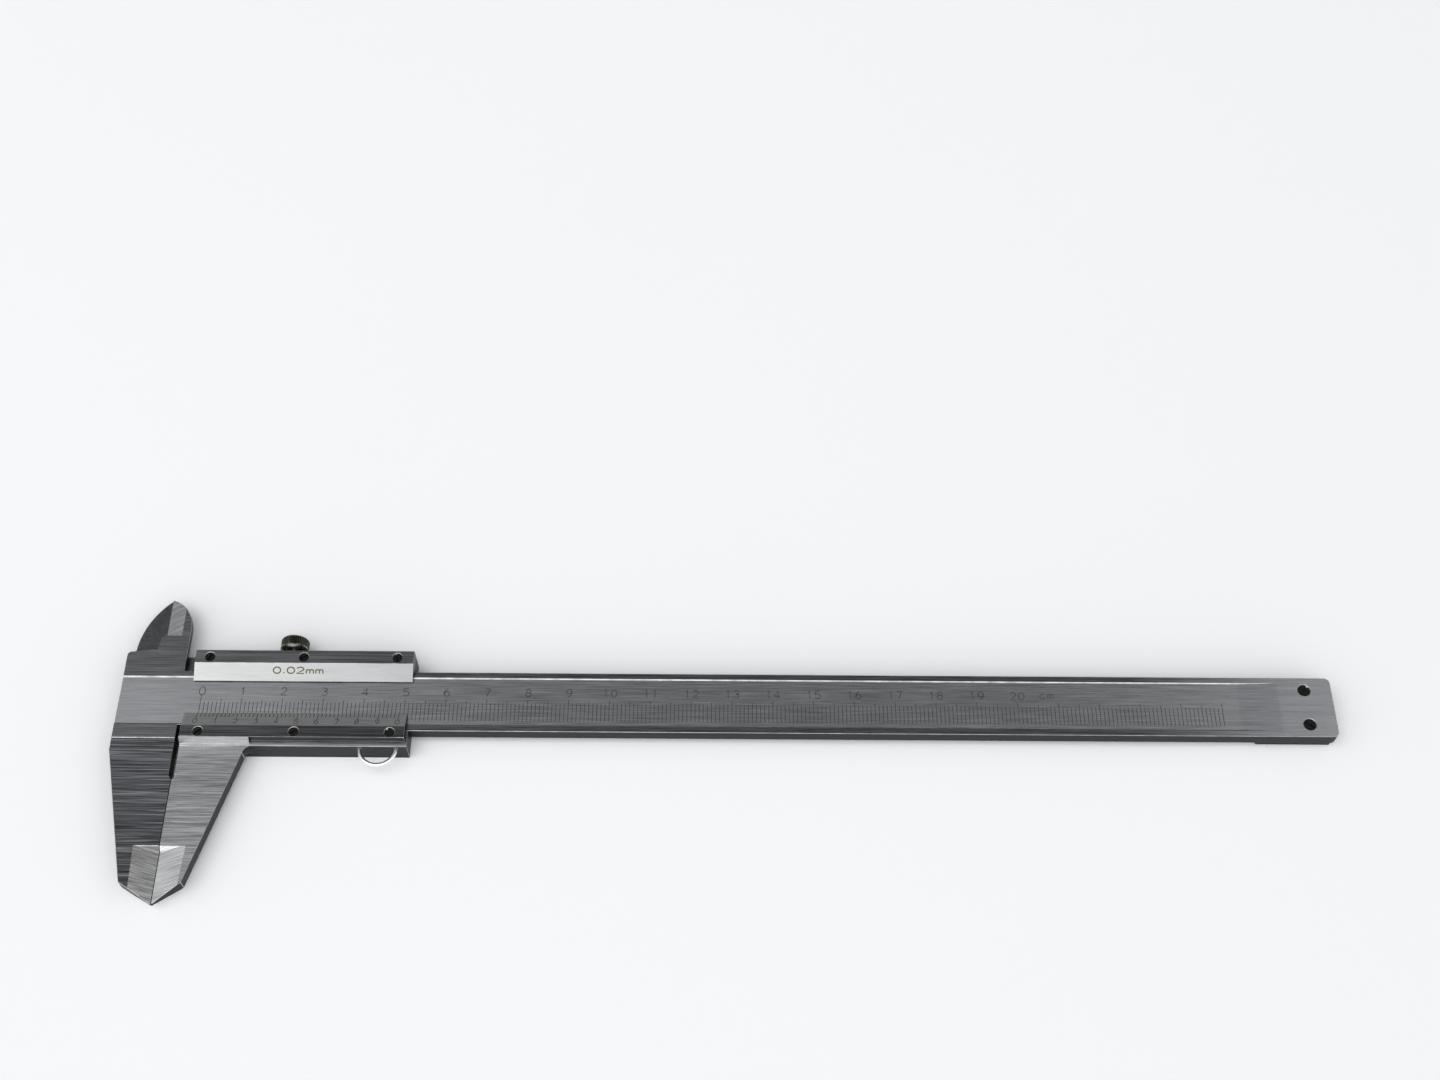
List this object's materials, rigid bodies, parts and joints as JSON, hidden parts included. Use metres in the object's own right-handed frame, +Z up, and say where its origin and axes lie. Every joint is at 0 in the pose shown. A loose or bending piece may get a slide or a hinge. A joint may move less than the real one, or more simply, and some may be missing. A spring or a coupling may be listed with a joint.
{
  "type": "vernier caliper",
  "caption": "Vernier caliper with outside jaws, crossed inside jaws, sliding vernier frame with lock screw, thumb loop and depth rod.",
  "frame": {"origin": "on the surface that the caliper lies on, under the middle of its outer box, with the jaws closed", "axes": "+X along the beam away from the jaws, +Y across the face from the outside jaws to the inside jaws, +Z up out of the graduated face"},
  "size_m": [0.2976, 0.081, 0.0082],
  "materials": {
    "ground_steel": "satin, ground along X",
    "brushed_steel": "satin, brushed along X",
    "bright_steel": "fine satin",
    "satin_steel": "satin",
    "black_screw": "black oxide",
    "nickel": "nickel plated",
    "brass_pad": "turned",
    "spring_bronze": "rolled",
    "chrome_wire": "polished",
    "rod_steel": "fine satin"
  },
  "bodies": {
    "beam": {"beam": "ground_steel", "end_stop_plate": "ground_steel", "end_screw_upper": "black_screw", "end_screw_lower": "black_screw"},
    "slider": {"slider_frame": "brushed_steel", "upper_cover": "bright_steel", "vernier_plate": "satin_steel", "cover_screw_left": "black_screw", "cover_screw_middle": "black_screw", "cover_screw_right": "black_screw", "vernier_screw_left": "black_screw", "vernier_screw_middle": "black_screw", "vernier_screw_right": "black_screw", "gib_spring": "spring_bronze", "thumb_loop": "chrome_wire", "depth_rod": "rod_steel", "rod_rivet_front": "rod_steel", "rod_rivet_rear": "rod_steel"},
    "lock_pad": {"lock_pad": "brass_pad"},
    "lock_screw": {"lock_screw": "nickel"}
  },
  "joints": [
    {"name": "slide", "type": "slide", "parent": "beam", "child": "slider", "axis": [1, 0, 0], "range_m": [0, 0.205]},
    {"name": "lock_travel", "type": "slide", "parent": "slider", "child": "lock_pad", "axis": [0, 1, 0], "range_m": [0, 0.001]},
    {"name": "lock_turn", "type": "hinge", "parent": "lock_pad", "child": "lock_screw", "pos_m": [-0.10795, 0.0256, 0.0042], "axis": [0, 1, 0], "range_deg": [0, 720]}
  ],
  "couplings": [
    {"joint": "lock_turn", "follows": "lock_travel", "rad_per_m": 12566}
  ]
}
